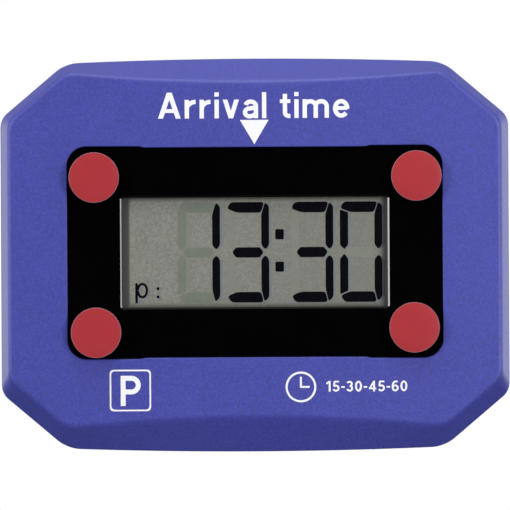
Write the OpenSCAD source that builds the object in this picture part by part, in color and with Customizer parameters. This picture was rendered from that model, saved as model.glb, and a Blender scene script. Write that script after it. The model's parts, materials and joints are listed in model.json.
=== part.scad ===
// Electronic parking disc for a windscreen: an eight-sided two-part casing, a large
// time display behind a black window, four round adhesive pads on the front, and a
// coin-cell bay with a drop-down door, two setting buttons and four screws at the back.
//
// Frame: X to the right as the display is read, Z up, Y from the glass into the car.
// The origin is the centre of the plane in which the four pads meet the glass.

/* [Casing] */
// Overall width of the casing
body_w = 105; // [96:0.5:120]
// Height of the casing at its crowned middle
body_h = 81.2; // [76:0.2:94]
// Depth of the front shell, from its face back to the joint between the shells
front_depth = 9; // [8:0.25:12]
// Depth of the rear shell, from that joint to the back face
rear_depth = 12.6; // [12.6:0.2:16]
// Slope of the cut-off corners from the horizontal, in degrees
corner_angle = 40.3; // [36:0.1:45]
// Length along X that each cut-off corner takes from the top edge
corner_run = 13.5; // [11:0.5:16]
// How far the top and bottom edges bow outwards
edge_crown = 0.8; // [0:0.1:1.5]
// Radius where a cut-off corner meets the top or bottom edge
top_corner_r = 7.5; // [4:0.5:10]
// Radius where a cut-off corner meets a side
side_corner_r = 4; // [2:0.5:6]
// Wall of both shells
wall = 2; // [1.6:0.1:2.4]
// Thickness of the front shell's face
face_wall = 2.5; // [2.1:0.1:3]

/* [Front bevel] */
// Depth of the bevel, from the face back to the straight band
bevel_depth = 6.5; // [5:0.25:7]
// Width of the bevel along the sides, seen from the front
bevel_side = 1.7; // [1.2:0.05:3]
// Width of the bevel on the cut-off corners
bevel_corner = 2.5; // [1.8:0.1:4]
// Width of the bevel at the ends of the top and bottom edges
bevel_ends = 3.1; // [2.2:0.05:4.5]
// How far the face's top and bottom edges bow inwards
face_waist = 2.1; // [0:0.1:3]
// How far the face sits above the middle of the casing
face_rise = 1.1; // [0:0.1:1.5]
// Size of the rounding between bevel and face
ridge_round = 0.8; // [0.4:0.1:1.2]
// How far the rear shell's edge rounding reaches in from the sides
back_round = 4.5; // [3:0.25:6]

/* [Window] */
// Width of the black window
window_w = 77; // [70:0.5:80]
// Height of the black window
window_h = 43; // [40:0.2:46]
// Corner radius of the window
window_r = 4; // [2:0.5:6]
// Thickness of the black bezel
bezel_t = 1.2; // [1:0.1:1.5]
// How far the bezel lies below the casing's face
bezel_recess = 0.6; // [0.3:0.1:1]
// How far the window sits above the middle of the casing
window_rise = 0.6; // [0:0.1:1]
// Width of the display opening in the bezel
view_w = 54.7; // [50:0.1:58]
// Height of the display opening in the bezel
view_h = 22.6; // [21.5:0.1:24]
// Extra height of the window opening beside the pads
pad_relief = 0.25; // [0:0.05:0.4]
// Length along X of each stretch with that extra height
pad_relief_len = 18.5; // [12:0.5:22]

/* [Adhesive pads] */
// Diameter of each pad
pad_d = 10.1; // [8:0.5:12]
// How far each pad lies in from the window's corner, along X and Z, as stuck on by hand
pad_inset_top_left = [0.4, 0.95];
pad_inset_top_right = [0.2, 0.9];
pad_inset_low_left = [0.7, 0.05];
pad_inset_low_right = [0.75, 0.8];
// Thickness of each foam pad
pad_t = 2.9; // [1.5:0.1:3.5]
// Thickness of each release liner
liner_t = 0.1; // [0.1:0.05:0.2]

/* [Display] */
// How far the display's glass reaches beyond the opening at each side
glass_rim_x = 3.6; // [3:0.1:5]
// How far the front glass reaches beyond the opening at the top and bottom
glass_rim_z = 3.8; // [3.4:0.1:5]
// Thickness of each glass
glass_t = 0.7; // [0.5:0.1:1.1]
// Thickness of the polarising film and of the reflector
film_t = 0.2; // [0.1:0.05:0.3]
// How far the polarising film reaches beyond the opening all round
film_rim = 0.6; // [0.3:0.1:0.9]
// Height of the ledge of front glass that the contact strips press on
contact_ledge = 2; // [1.6:0.1:2.4]

/* [Circuit board] */
// Width of the circuit board
board_w = 78; // [74:0.5:79]
// Height of the circuit board
board_h = 60; // [56:0.5:62]
// Thickness of the circuit board
board_t = 1.2; // [1:0.1:1.6]
// Distance from the border round the display to the board
board_gap = 4; // [3.6:0.1:4.5]
// Distance of the board's screws from its edges
board_screw_inset = 3.5; // [3:0.25:5]

/* [Housing screws] */
// Distance of the housing screws from the casing's sides
case_screw_inset_x = 9.5; // [8:0.5:11]
// Distance of the housing screws from the casing's top and bottom
case_screw_inset_z = 17.6; // [16.5:0.1:24]
// Diameter of the screw thread
case_thread_d = 2.6; // [2.2:0.1:3]
// Diameter of the screw head
case_head_d = 4.8; // [4.2:0.1:5.2]

/* [Battery bay] */
// Diameter of a coin cell
cell_d = 24.5; // [23:0.5:25]
// Height of a coin cell
cell_t = 5; // [3.2:0.1:5.4]
// Gap between the two cells
cell_gap = 1.9; // [1.5:0.1:4]
// Height of the cells' centres
cell_z = -6; // [-8:0.5:-4]
// Thickness of the battery door
door_t = 1.6; // [1.2:0.1:2]
// Gap between the door and its opening
door_gap = 0.2; // [0.15:0.05:0.3]
// Strip of door beyond the cells, at each side
door_margin_x = 3.1; // [3:0.1:5]
// Strip of door above the cells
door_margin_top = 3.5; // [3:0.1:5]
// Strip of door below the cells, which holds the hinge
door_margin_hinge = 3.4; // [3.2:0.1:5]
// Radius of the round edge that the door turns on
knuckle_r = 1.3; // [1:0.05:1.4]
// Diameter of the door's hinge pins
pin_d = 1.6; // [1.2:0.1:1.8]

/* [Buttons] */
// Diameter of a button's cap
button_d = 9; // [7:0.5:10]
// Distance of each button from the middle of the casing
button_x = 14; // [11:0.5:16]
// Height of the buttons' centres
button_z = 22; // [19:0.5:24]
// Travel of a button
button_travel = 0.5; // [0.25:0.05:0.6]

/* [Hidden] */
$fn = 48;

// Colours
case_blue = [0.19, 0.20, 0.60];
gloss_black = [0.03, 0.03, 0.03];
clear = [0.85, 0.9, 0.9, 0.35];
lcd_grey = [0.50, 0.50, 0.46];
board_green = [0.05, 0.28, 0.14];
steel = [0.72, 0.72, 0.74];
liner_red = [0.68, 0.21, 0.23];

// Depths, from the glass at 0 towards the back
film_gap = 0.1;     // between the bezel and the film, and behind the rear glass
frame_step = 1.1;   // how far the border round the window stands behind the face wall
bezel_y = pad_t + liner_t;
face_y = bezel_y - bezel_recess;
band_y = face_y + bevel_depth;
joint_y = face_y + front_depth;
back_y = joint_y + rear_depth;
bezel_back = bezel_y + bezel_t;
film_y = bezel_back + film_gap;
glass_y = film_y + film_t;
glass_mid = glass_y + glass_t;
glass_back = glass_mid + glass_t;
ledge_back = max(face_y + face_wall + frame_step, glass_back + film_gap);
board_y = ledge_back + board_gap;
board_back = board_y + board_t;

// Sizes and places that follow from those above
glass_w = view_w + 2 * glass_rim_x;
glass_h = view_h + 2 * glass_rim_z;
board_screw = [board_w / 2 - board_screw_inset, board_h / 2 - board_screw_inset];
case_screw = [body_w / 2 - case_screw_inset_x, body_h / 2 - case_screw_inset_z];
cell_x = (cell_d + cell_gap) / 2;

// Clearances
seat_gap = 0.15;   // between the bezel, or the display's frame, and what it lies in
lip_gap = 0.1;     // between the shells' tongue and groove
hole_gap = 0.15;   // around a screw's thread, or a button in its hole
touch = 0.02;      // between a coin cell's rim and its contact
sink = 0.5;        // how far a post or boss runs into the wall that it stands on
past = 1;          // how far a cut runs past the surface that it opens

// Outline of the casing: half width, half height at the ends of the top edge, distance
// of the cut-off corner's line from the centre, outward bow of the top, rise of the centre
corner_n = [sin(corner_angle), cos(corner_angle)];
half_w = body_w / 2;
half_h = body_h / 2 - edge_crown;
corner_c = (half_w - corner_run) * corner_n[0] + half_h * corner_n[1];
OUTER = [half_w, half_h, corner_c, edge_crown, 0];
RIDGE = [half_w - bevel_side, half_h - bevel_ends, corner_c - bevel_corner, -face_waist, face_rise];

function blend(p, q, t) = p * (1 - t) + q * t;
function inset(p, d) = [p[0] - d, p[1] - d, p[2] - d, p[3], p[4]];

arc_steps = 8;    // facets round each corner of the casing
edge_steps = 12;  // facets along the bowed top and bottom

// Points round the corner at v, turning from direction a0 to a1 with radius r
function arc_points(v, a0, a1, r) =
    let (half = (a1 - a0) / 2, mid = (a0 + a1) / 2, reach = r / cos(half),
         c = [v[0] - reach * cos(mid), v[1] - reach * sin(mid)])
    [for (i = [0 : arc_steps]) let (a = a0 + (a1 - a0) * i / arc_steps)
        [c[0] + r * cos(a), c[1] + r * sin(a)]];

// Right half of the top edge's corner, then the side's, in the first quadrant
function quarter(p) =
    let (side_v = [p[0], (p[2] - corner_n[0] * p[0]) / corner_n[1]],
         top_v = [(p[2] - corner_n[1] * p[1]) / corner_n[0], p[1]])
    concat(arc_points(side_v, 0, 90 - corner_angle, side_corner_r),
           arc_points(top_v, 90 - corner_angle, 90, top_corner_r));

function reversed(l) = [for (i = [len(l) - 1 : -1 : 0]) l[i]];
function mirrored_x(l) = [for (q = reversed(l)) [-q[0], q[1]]];
function mirrored_z(l) = [for (q = reversed(l)) [q[0], -q[1]]];

// The top edge between its corners, then bowed by the outline's crown
function edge_points(x0, x1, z) =
    [for (i = [1 : edge_steps - 1]) [x0 + (x1 - x0) * i / edge_steps, z]];
function bowed(p, l) =
    let (x_end = (p[2] - corner_n[1] * p[1]) / corner_n[0])
    [for (q = l) let (share = max(0, 1 - pow(q[0] / x_end, 2)))
        [q[0], q[1] + sign(q[1]) * p[3] * share + p[4]]];

function outline(p) =
    let (q = quarter(p), end = q[len(q) - 1],
         top = concat(q, edge_points(end[0], -end[0], end[1]), mirrored_x(q)),
         low = mirrored_z(top))
    bowed(p, concat(top, low));

// A closed solid through rings of [outline, depth], listed from the front to the back
module loft(rings) {
    count = len(outline(rings[0][0]));
    last = len(rings) - 1;
    points = concat(
        [for (r = rings) each [for (q = outline(r[0])) [q[0], r[1], q[1]]]],
        [[0, rings[0][1], 0], [0, rings[last][1], 0]]);
    sides = [for (k = [0 : last - 1]) for (i = [0 : count - 1])
        let (j = (i + 1) % count, a = k * count, b = a + count)
        each [[a + i, a + j, b + j], [a + i, b + j, b + i]]];
    caps = [for (i = [0 : count - 1])
        let (j = (i + 1) % count, b = last * count, c = (last + 1) * count)
        each [[c, j, i], [c + 1, b + i, b + j]]];
    polyhedron(points, concat(sides, caps));
}

// A cylinder along Y, from depth y0 to y1
module bar(d, y0, y1) {
    translate([0, y1, 0]) rotate([90, 0, 0]) cylinder(d = d, h = y1 - y0);
}

// A box centred on X and Z, from depth y0 to y1
module slab(w, h, y0, y1) {
    translate([-w / 2, y0, -h / 2]) cube([w, y1 - y0, h]);
}

// A box with round corners, centred on X and Z, from depth y0 to y1
module round_slab(w, h, r, y0, y1) {
    translate([0, y1, 0]) rotate([90, 0, 0]) linear_extrude(y1 - y0) {
        square([w - 2 * r, h], center = true);
        square([w, h - 2 * r], center = true);
        for (sx = [-1, 1], sz = [-1, 1]) translate([sx * (w / 2 - r), sz * (h / 2 - r)]) circle(r);
    }
}

// The four places of a pattern that is symmetric about the middle
module at_four(place) {
    for (sx = [-1, 1], sz = [-1, 1]) translate([sx * place[0], 0, sz * place[1]]) children();
}

// ---- Front shell ----

post_wall = 1.7;      // plastic round a housing screw's thread
post_d = case_thread_d + 2 * post_wall;
post_end = joint_y + 3.6;
thread_bite = 0.25;   // how deep a screw's thread bites into its post or boss
thread_len = 7.5;
board_boss_d = 5;
board_thread_d = 2;
board_hole_floor = 0.6;   // plastic left between a board screw's hole and the face

frame_rim = 1.8;   // width of the border behind the face, round the window

function bevel_ring(depth) = blend(OUTER, RIDGE, (band_y - depth) / bevel_depth);

module front_outer() {
    loft([
        [inset(RIDGE, ridge_round), face_y],
        [inset(RIDGE, 0.5 * ridge_round), face_y + 0.08 * ridge_round],
        [inset(RIDGE, 0.12 * ridge_round), face_y + 0.35 * ridge_round],
        [bevel_ring(face_y + ridge_round), face_y + ridge_round],
        [OUTER, band_y],
        [OUTER, joint_y]
    ]);
}

module front_inner() {
    inner_face = face_y + face_wall;
    loft([
        [inset(bevel_ring(inner_face), wall), inner_face],
        [inset(OUTER, wall), band_y],
        [inset(OUTER, wall), joint_y + past]
    ]);
}

// The groove that the rear shell's tongue enters
tongue_len = 1.2;
tongue_t = 0.8;

module tongue_groove() {
    depth = joint_y - tongue_len - lip_gap;
    cut = inset(OUTER, wall - tongue_t - lip_gap);
    loft([[cut, depth], [cut, joint_y + past]]);
}

module window_opening(y0, y1) {
    w = window_w + 2 * seat_gap;
    h = window_h + 2 * seat_gap;
    round_slab(w, h, window_r, y0, y1);
    for (s = [-1, 1]) translate([s * (w - pad_relief_len) / 2, 0, 0])
        round_slab(pad_relief_len, h + 2 * pad_relief, window_r, y0, y1);
}

module front_housing() {
    inner_face = face_y + face_wall;
    color(case_blue) difference() {
        union() {
            difference() {
                front_outer();
                front_inner();
                tongue_groove();
            }
            translate([0, 0, window_rise])
                slab(window_w + 2 * frame_rim, window_h + 2 * frame_rim, inner_face - sink, ledge_back);
            at_four(case_screw) bar(post_d, inner_face - sink, post_end);
            at_four(board_screw) bar(board_boss_d, inner_face - sink, board_y);
        }
        translate([0, 0, window_rise]) {
            window_opening(face_y - past, bezel_back);
            slab(glass_w + 2 * seat_gap, glass_h + 2 * seat_gap, bezel_back - past, ledge_back + past);
        }
        at_four(case_screw)
            bar(case_thread_d - 2 * thread_bite, post_end - thread_len - past, post_end + past);
        at_four(board_screw)
            bar(board_thread_d - 2 * thread_bite, inner_face + board_hole_floor, board_y + past);
    }
}

module window_bezel() {
    color(gloss_black) translate([0, 0, window_rise]) difference() {
        round_slab(window_w, window_h, window_r, bezel_y, bezel_back);
        slab(view_w, view_h, bezel_y - past, bezel_back + past);
    }
}

// ---- Adhesive pads, as stuck on by hand ----

// The window's corner on side sx, sz, moved in by half a pad and the pad's own inset
module at_corner(sx, sz, pad_inset) {
    translate([sx * ((window_w - pad_d) / 2 - pad_inset[0]), 0,
               sz * ((window_h - pad_d) / 2 - pad_inset[1]) + window_rise]) children();
}

module foam_pad(sx, sz, pad_inset) {
    color("dimgray") at_corner(sx, sz, pad_inset) bar(pad_d, liner_t, bezel_y);
}

module pad_liner(sx, sz, pad_inset) {
    color(liner_red) at_corner(sx, sz, pad_inset) bar(pad_d, 0, liner_t);
}

// ---- Display ----

module lcd_front_film() {
    color(clear) translate([0, 0, window_rise])
        slab(view_w + 2 * film_rim, view_h + 2 * film_rim, film_y, glass_y);
}

module lcd_front_glass() {
    color(clear) translate([0, 0, window_rise]) slab(glass_w, glass_h, glass_y, glass_mid);
}

module lcd_rear_glass() {
    color(clear) translate([0, 0, window_rise])
        slab(glass_w, rear_glass_h, glass_mid, glass_back);
}

module lcd_reflector() {
    margin = 0.3;
    color(lcd_grey) translate([0, 0, window_rise])
        slab(glass_w - 2 * margin, rear_glass_h - 2 * margin, glass_back, glass_back + film_t);
}

rear_glass_h = glass_h - 2 * contact_ledge;
strip_t = contact_ledge - 0.4;
strip_len = glass_w - 4;
strip_z = (glass_h - contact_ledge) / 2;

// A frame between glass and board, with a slot for each contact strip
module lcd_holder() {
    overlap = 1.5;     // how far it reaches beyond the glass, onto the border
    rest_x = 3;        // width of the seat for the rear glass, at the sides
    rest_z = 2;        // and at the top and bottom
    strip_gap = 0.1;
    color("whitesmoke") translate([0, 0, window_rise]) difference() {
        slab(glass_w + 2 * overlap, glass_h + 2 * overlap, ledge_back, board_y);
        slab(glass_w + 2 * seat_gap, rear_glass_h + 2 * seat_gap,
             ledge_back - past, glass_back + film_t);
        slab(glass_w - 2 * rest_x, rear_glass_h - 2 * rest_z, ledge_back - past, board_y + past);
        for (s = [-1, 1]) translate([0, 0, s * strip_z])
            slab(strip_len + 2 * strip_gap, strip_t + strip_gap, ledge_back - past, board_y + past);
    }
}

module contact_strip(side) {
    color("lightpink") translate([0, 0, window_rise + side * strip_z])
        slab(strip_len, strip_t, glass_mid, board_y);
}

// ---- Circuit board and what it carries ----

switch_w = 6;
switch_t = 3.5;
switch_floor = 1.2;
plunger_d = 3.2;
plunger_tip = board_back + switch_t + button_travel;
base_leg_x = 4.5;   // distance of a base contact's leg from its cell's centre
leg_w = 2;
leg_t = 0.4;

module circuit_board() {
    color(board_green) difference() {
        round_slab(board_w, board_h, 2, board_y, board_back);
        at_four(board_screw) bar(board_thread_d + 2 * hole_gap, board_y - past, board_back + past);
    }
}

// A flat package with its legs in rows on two sides
module controller_chip() {
    size = 9;
    stand_off = 0.2;
    package_t = 1.3;
    legs = 9;
    leg_pitch = 0.9;
    leg_size = [1.2, 0.5, 0.4];
    color([0.08, 0.08, 0.09]) translate([0, 0, button_z - 1]) {
        slab(size, size, board_back + stand_off, board_back + stand_off + package_t);
        for (s = [-1, 1], i = [0 : legs - 1])
            translate([s * (size + leg_size[0] - 0.2) / 2, 0, (i - (legs - 1) / 2) * leg_pitch])
                slab(leg_size[0], leg_size[2], board_back, board_back + leg_size[1]);
    }
}

module motion_sensor() {
    size = 3;
    height = 0.9;
    color([0.1, 0.1, 0.11]) translate([22, 0, -24.5])
        slab(size, size, board_back, board_back + height);
}

module quartz_crystal() {
    d = 2;
    length = 6.2;
    color(steel) translate([-5, board_back + d / 2, 12]) rotate([0, 90, 0])
        cylinder(d = d, h = length);
}

module smoothing_capacitor() {
    d = 5;
    top = board_back + 4.4;
    vent_w = 0.3;
    vent_depth = 0.2;
    from_edge = 1;
    color([0.15, 0.17, 0.3]) translate([from_edge + d / 2 - board_w / 2, 0, 4]) difference() {
        bar(d, board_back, top);
        for (a = [0, 90]) rotate([0, a, 0]) slab(0.7 * d, vent_w, top - vent_depth, top + past);
    }
}

// Resistors and ceramic capacitors, in two rows
module chip_parts() {
    size = [1.6, 0.6, 0.8];
    first = [-10, -22.5];
    pitch = [4, 2.6];
    color([0.55, 0.45, 0.3]) for (row = [0, 1], i = [0 : 5])
        translate([first[0] + pitch[0] * i, 0, first[1] - pitch[1] * row])
            slab(size[0], size[2], board_back, board_back + size[1]);
}

module switch_body(side) {
    color([0.1, 0.1, 0.1]) translate([side * button_x, 0, button_z]) difference() {
        slab(switch_w, switch_w, board_back, board_back + switch_t);
        bar(plunger_d + 2 * hole_gap, board_back + switch_floor, board_back + switch_t + past);
    }
}

module switch_plunger(side) {
    color("ivory") translate([side * button_x, 0, button_z])
        bar(plunger_d, board_back + switch_floor + button_travel + 0.1, plunger_tip);
}

// ---- Rear shell ----

head_gap = 0.25;      // round a screw's head in its counterbore
counterbore_d = case_head_d + 2 * head_gap;
tube_wall = 0.95;     // plastic round that counterbore
tube_d = counterbore_d + 2 * tube_wall;
head_seat = post_end + 2;
cup_wall = 1.4;
cup_gap = 0.35;
cup_d = cell_d + 2 * cup_gap;
cell_clearance = 0.2; // between the cells and the closed door
cell_back = back_y - door_t - cell_clearance;
cell_front = cell_back - cell_t;
base_contact_t = 0.2;
cup_floor = cell_front - base_contact_t;
cup_floor_t = 1.2;
door_x = cell_x + cell_d / 2 + door_margin_x + 0.25;
door_top = cell_z + cell_d / 2 + door_margin_top;
door_low = cell_z - cell_d / 2 - door_margin_hinge;
door_ledge = back_y - door_t - 0.1;   // seat behind the door's edges
hinge_y = back_y - knuckle_r;
hinge_z = door_low + knuckle_r;
hinge_gap = 0.3;      // round the door's turning edge, and at the ends of its pins
pin_len = 1.3;
latch_w = 9;
latch_len = 2;
latch_t = 0.9;
latch_gap = 0.3;      // at each side of the latch in its slot
scoop_w = 14;
scoop_r = 5;
scoop_depth = 1.1;
button_hole_d = button_d + 2 * hole_gap;
button_top = back_y - 0.2;
flange_gap = 0.2;
flange_t = 1.6;
flange_reach = 1;     // how far a button's flange stands out round its cap
edge_len = 6;         // depth of the rear shell's rounded edge
rounding_steps = 8;
side_draft = 0.35;

// Rings of the rear shell, offset inwards by t: a drafted side, then a quarter ellipse
module rear_body(t, y0) {
    straight = rear_depth - edge_len;
    deep = back_y - straight - joint_y - t;
    function ring(k) = let (a = 90 * k / rounding_steps)
        [inset(blend(OUTER, [half_w, half_h, corner_c, 0, 0], k / rounding_steps),
               t + side_draft + (back_round - side_draft) * (1 - cos(a))),
         joint_y + straight + deep * sin(a)];
    loft(concat([[inset(OUTER, t), y0]], [for (k = [0 : rounding_steps]) ring(k)]));
}

module rear_tongue() {
    outer = inset(OUTER, wall - tongue_t);
    inner = inset(OUTER, wall + 0.4);
    difference() {
        loft([[outer, joint_y - tongue_len], [outer, joint_y + past]]);
        loft([[inner, joint_y - tongue_len - past], [inner, joint_y + 2 * past]]);
    }
}

module at_cells() {
    for (s = [-1, 1]) translate([s * cell_x, 0, cell_z]) children();
}

// A box between two corners, given as depths and heights, centred on X
module panel(w, y0, y1, z0, z1) {
    translate([-w / 2, y0, z0]) cube([w, y1 - y0, z1 - z0]);
}

module bay_solids() {
    rim_front = door_ledge - 1.2;
    hinge_front = hinge_y - 2.9;
    rim_back = back_y - 0.4;
    panel(2 * (door_x + 1.6), rim_front, rim_back, door_low - 2, door_top + 1.6);
    panel(2 * (door_x + 2.5), hinge_front, rim_back, hinge_z - 3, hinge_z + 2.6);
    at_cells() bar(cup_d + 2 * cup_wall, cup_floor - cup_floor_t, back_y - 1);
    // walls round the slots beside the cells
    for (s = [-1, 1]) translate([s * (cell_x + cell_d / 2 + 1), 0, cell_z])
        slab(5.2, 8, cup_floor - cup_floor_t, back_y - 1);
}

module bay_cuts() {
    w = 2 * (door_x + door_gap);
    pins = 2 * (door_x + pin_len + hinge_gap);
    panel(w, door_ledge, back_y + past, hinge_z, door_top + door_gap);
    panel(w, hinge_y, back_y + past, door_low - hinge_gap, hinge_z + 0.1);
    translate([-w / 2, hinge_y, hinge_z]) rotate([0, 90, 0])
        cylinder(r = knuckle_r + hinge_gap, h = w);
    translate([-pins / 2, hinge_y, hinge_z]) rotate([0, 90, 0])
        cylinder(d = pin_d + 0.1, h = pins);
    at_cells() bar(cup_d, cup_floor, back_y);
    // slots for the contacts' legs
    for (s = [-1, 1]) translate([s * cell_x, 0, cell_z]) {
        translate([s * base_leg_x, 0, 0])
            slab(leg_t + 0.4, leg_w + 0.4, cup_floor - cup_floor_t - past, cup_floor + past);
        translate([s * (cell_d / 2 + 0.55), 0, 0])
            slab(1.2, 5.4, cup_floor - cup_floor_t - past, cell_back);
    }
    // slot for the door's latch, and the fingernail scoop above the door
    panel(latch_w + 2 * latch_gap, door_ledge - latch_len - 0.4, door_ledge + past,
          door_top - latch_t - 0.4, door_top + latch_gap);
    translate([0, back_y + scoop_r - scoop_depth, door_top + 1.2]) rotate([0, 90, 0])
        translate([0, 0, -scoop_w / 2]) cylinder(r = scoop_r, h = scoop_w);
}

module button_seat() {
    difference() {
        bar(button_d + 5.4, back_y - wall - 3, back_y - wall + sink);
        bar(button_d + 2.6, back_y - wall - 3 - past, back_y - wall);
    }
}

module rear_housing() {
    color(case_blue) difference() {
        union() {
            difference() {
                rear_body(0, joint_y);
                rear_body(wall, joint_y - past);
            }
            rear_tongue();
            bay_solids();
            at_four(case_screw) bar(tube_d, post_end, back_y - wall + sink);
            for (s = [-1, 1]) translate([s * button_x, 0, button_z]) button_seat();
        }
        bay_cuts();
        at_four(case_screw) {
            bar(case_thread_d + 2 * hole_gap, post_end - past, back_y);
            bar(counterbore_d, head_seat, back_y + past);
        }
        for (s = [-1, 1]) translate([s * button_x, 0, button_z])
            bar(button_hole_d, back_y - wall - past, back_y + past);
    }
}

// A plate that turns on a round lower edge with a pin at each end
module battery_door() {
    latch_inset = 0.2;
    grooves = 4;
    groove_w = 16;
    groove_h = 0.8;
    groove_depth = 0.35;
    groove_top = door_top - 4.2;
    pin_root = 0.2;
    color(case_blue) {
        difference() {
            union() {
                panel(2 * door_x, back_y - door_t, back_y, hinge_z, door_top);
                translate([-door_x, hinge_y, hinge_z]) rotate([0, 90, 0])
                    cylinder(r = knuckle_r, h = 2 * door_x);
                panel(latch_w, back_y - door_t - latch_len, back_y - door_t + latch_inset,
                      door_top - latch_t - latch_inset, door_top - latch_inset);
            }
            for (i = [0 : grooves - 1]) translate([0, 0, groove_top - 2 * groove_h * i])
                panel(groove_w, back_y - groove_depth, back_y + past, -groove_h, 0);
        }
        for (s = [-1, 1]) translate([s * (door_x + pin_len / 2), hinge_y, hinge_z])
            rotate([0, 90, 0]) cylinder(d = pin_d, h = pin_len + 2 * pin_root, center = true);
    }
}

module button(side) {
    flange_y = back_y - wall - flange_gap;
    stem_d = 4;
    dish_r = 20;
    dish_depth = 0.6;
    color([0.75, 0.76, 0.8]) translate([side * button_x, 0, button_z]) difference() {
        union() {
            bar(button_d, flange_y - sink, button_top);
            bar(button_d + 2 * flange_reach, flange_y - flange_t, flange_y);
            bar(stem_d, plunger_tip, flange_y - sink);
        }
        translate([0, button_top + dish_r - dish_depth, 0]) sphere(r = dish_r, $fn = 96);
    }
}

// ---- Coin cells and contacts ----

// A can with a softened edge, and a smaller cap that stands out of it
module coin_cell(side) {
    cap_inset = 1.2;
    cap_height = 0.6;
    edge = [0.25, 0.15];
    color(steel) translate([side * cell_x, 0, cell_z]) {
        bar(cell_d, cell_front + cap_height, cell_back - edge[1]);
        bar(cell_d - 2 * edge[0], cell_back - 2 * edge[1], cell_back);
        bar(cell_d - 2 * cap_inset, cell_front, cell_front + cap_height + 0.1);
    }
}

// A leaf on the cup's floor, with a leg to the board
module cell_base_contact(side) {
    leaf_len = 10;
    leaf_w = 4;
    color(steel) translate([side * cell_x, 0, cell_z]) {
        translate([side * (base_leg_x + (leg_t - leaf_len) / 2), 0, 0])
            slab(leaf_len, leaf_w, cup_floor, cell_front);
        translate([side * base_leg_x, 0, 0]) slab(leg_t, leg_w, board_back, cup_floor + 0.05);
    }
}

// A leaf beside the cell's rim, with its lower end on the board
module cell_rim_contact(side) {
    leaf_t = 0.3;
    leaf_w = 4.6;
    below_rim = 1.2;
    color(steel) translate([side * (cell_x + cell_d / 2 + touch + leaf_t / 2), 0, cell_z])
        slab(leaf_t, leaf_w, board_back, cell_back - below_rim);
}

// ---- Screws ----

module cross_recess(head_y) {
    slot = [2.6, 0.6];
    depth = 1;
    for (a = [0, 90]) rotate([0, a, 0]) slab(slot[0], slot[1], head_y - depth, head_y + past);
}

module housing_screws() {
    head_t = 1.8;
    color(steel) at_four(case_screw) difference() {
        union() {
            bar(case_head_d, head_seat, head_seat + head_t);
            bar(case_thread_d, post_end - thread_len, head_seat + sink);
        }
        cross_recess(head_seat + head_t);
    }
}

module board_screws() {
    head_t = 1.4;
    head_d = 4;
    bite_len = 3.6;
    color(steel) at_four(board_screw) difference() {
        union() {
            bar(head_d, board_back, board_back + head_t);
            bar(board_thread_d, board_y - bite_len, board_back + sink);
        }
        cross_recess(board_back + head_t);
    }
}

// ---- One node at a time ----

front_housing();
rear_housing();
window_bezel();
lcd_front_film();
lcd_front_glass();
lcd_rear_glass();
lcd_reflector();
lcd_holder();
contact_strip(1);  // contact_strip_upper
contact_strip(-1);  // contact_strip_lower
circuit_board();
controller_chip();
motion_sensor();
quartz_crystal();
smoothing_capacitor();
chip_parts();
switch_body(-1);  // switch_body_left
switch_body(1);  // switch_body_right
switch_plunger(-1);  // switch_plunger_left
switch_plunger(1);  // switch_plunger_right
button(-1);  // set_button
button(1);  // plus_button
battery_door();
coin_cell(-1);  // coin_cell_left
coin_cell(1);  // coin_cell_right
cell_base_contact(-1);  // cell_base_contact_left
cell_base_contact(1);  // cell_base_contact_right
cell_rim_contact(-1);  // cell_rim_contact_left
cell_rim_contact(1);  // cell_rim_contact_right
housing_screws();
board_screws();
foam_pad(-1, 1, pad_inset_top_left);  // foam_pad_top_left
foam_pad(1, 1, pad_inset_top_right);  // foam_pad_top_right
foam_pad(-1, -1, pad_inset_low_left);  // foam_pad_low_left
foam_pad(1, -1, pad_inset_low_right);  // foam_pad_low_right
pad_liner(-1, 1, pad_inset_top_left);  // pad_liner_top_left
pad_liner(1, 1, pad_inset_top_right);  // pad_liner_top_right
pad_liner(-1, -1, pad_inset_low_left);  // pad_liner_low_left
pad_liner(1, -1, pad_inset_low_right);  // pad_liner_low_right
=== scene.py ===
# %% [markdown]
# # Windscreen parking disc
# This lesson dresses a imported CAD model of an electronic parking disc. The CAD gives every
# part its place; here the visible surfaces are worked out again as finer meshes, and each
# finish becomes a small network of shader nodes. Everything is in metres. X runs to the
# right as the display is read, Z is up, and Y runs from the windscreen into the car.

# %% Load the frame
import json
import math
import bmesh
import bpy
import numpy as np
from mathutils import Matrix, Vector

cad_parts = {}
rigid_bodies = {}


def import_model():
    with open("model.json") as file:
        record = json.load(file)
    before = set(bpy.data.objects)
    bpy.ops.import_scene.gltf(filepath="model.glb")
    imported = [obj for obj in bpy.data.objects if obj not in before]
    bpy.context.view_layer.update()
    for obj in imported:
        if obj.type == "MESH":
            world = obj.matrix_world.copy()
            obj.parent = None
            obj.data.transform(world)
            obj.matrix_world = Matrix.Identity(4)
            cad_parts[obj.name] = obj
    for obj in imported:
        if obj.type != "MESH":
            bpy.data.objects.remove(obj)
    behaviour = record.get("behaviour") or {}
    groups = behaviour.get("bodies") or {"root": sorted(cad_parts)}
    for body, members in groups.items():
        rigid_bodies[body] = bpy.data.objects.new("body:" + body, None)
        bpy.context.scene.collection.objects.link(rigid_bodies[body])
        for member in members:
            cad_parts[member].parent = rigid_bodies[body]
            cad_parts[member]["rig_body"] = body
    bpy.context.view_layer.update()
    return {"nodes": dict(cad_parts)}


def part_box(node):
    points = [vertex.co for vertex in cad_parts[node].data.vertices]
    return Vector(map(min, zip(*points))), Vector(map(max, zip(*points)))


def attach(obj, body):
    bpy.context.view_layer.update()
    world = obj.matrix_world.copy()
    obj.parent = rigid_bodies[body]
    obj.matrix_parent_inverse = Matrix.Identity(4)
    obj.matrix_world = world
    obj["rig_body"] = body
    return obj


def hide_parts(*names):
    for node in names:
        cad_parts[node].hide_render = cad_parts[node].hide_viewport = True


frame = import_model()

MM = 0.001
scene = bpy.context.scene

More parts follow.
